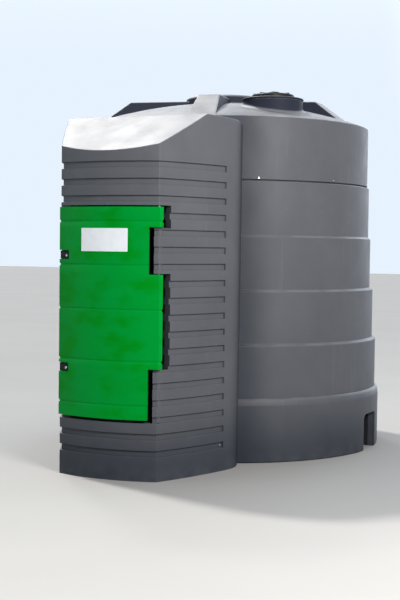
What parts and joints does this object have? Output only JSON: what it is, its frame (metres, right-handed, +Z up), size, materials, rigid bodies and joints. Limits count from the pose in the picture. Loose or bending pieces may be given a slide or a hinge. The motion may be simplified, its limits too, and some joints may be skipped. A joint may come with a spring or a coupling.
{
  "type": "vertical fuel storage tank with dispensing cabinet",
  "caption": "Upright round plastic fuel tank in stepped rings, with a ribbed domed roof, a screw-lid manhole and a grooved front cabinet closed by a hinged door.",
  "frame": {"origin": "on the ground at the centre of the round tank, at the underside of its floor", "axes": "+Z up along the tank axis; the cabinet and its door face -Y; +X is to the right for someone who faces the door"},
  "size_m": [2.2252, 2.9594, 2.44],
  "materials": {
    "moulded_grey": "matte rotomoulded polyethylene",
    "dark_grey": "matte, in shade",
    "black_plastic": "satin black plastic",
    "green_plastic": "satin coloured polyethylene",
    "white_plate": "smooth, bare",
    "steel": "plain steel rod"
  },
  "bodies": {
    "tank": {"shell_front": "moulded_grey", "cap_wall_front": "moulded_grey", "shell_right": "moulded_grey", "cap_wall_right": "moulded_grey", "shell_back": "moulded_grey", "cap_wall_back": "moulded_grey", "shell_left": "moulded_grey", "cap_wall_left": "moulded_grey", "seam_gasket": "dark_grey", "tank_floor": "moulded_grey", "recess_lining_left": "dark_grey", "recess_lining_right": "dark_grey", "roof": "moulded_grey", "roof_hub": "moulded_grey", "roof_rib_1": "moulded_grey", "roof_rib_2": "moulded_grey", "roof_rib_3": "moulded_grey", "roof_rib_4": "moulded_grey", "roof_rib_5": "moulded_grey", "manhole_neck": "moulded_grey", "manhole_ring": "moulded_grey", "cabinet_wall_right": "moulded_grey", "cabinet_wall_left": "moulded_grey", "cabinet_front_upper": "moulded_grey", "cabinet_front_lower": "moulded_grey", "cabinet_hood": "moulded_grey", "cabinet_base": "moulded_grey", "cabinet_floor": "moulded_grey", "lock_jamb": "moulded_grey", "hinge_tab_lower": "moulded_grey", "hinge_tab_upper": "moulded_grey", "hinge_pin": "steel"},
    "door": {"door": "green_plastic", "door_lock_lower": "black_plastic", "door_lock_upper": "black_plastic", "label_plate": "white_plate"},
    "lid": {"manhole_lid": "black_plastic"}
  },
  "joints": [
    {"name": "door_hinge", "type": "hinge", "parent": "tank", "child": "door", "pos_m": [0.312, -1.746, 0], "axis": [0, 0, 1], "range_deg": [0, 110]},
    {"name": "manhole_lid_lift", "type": "slide", "parent": "tank", "child": "lid", "axis": [0, 0, 1], "range_m": [0, 0.3]}
  ]
}
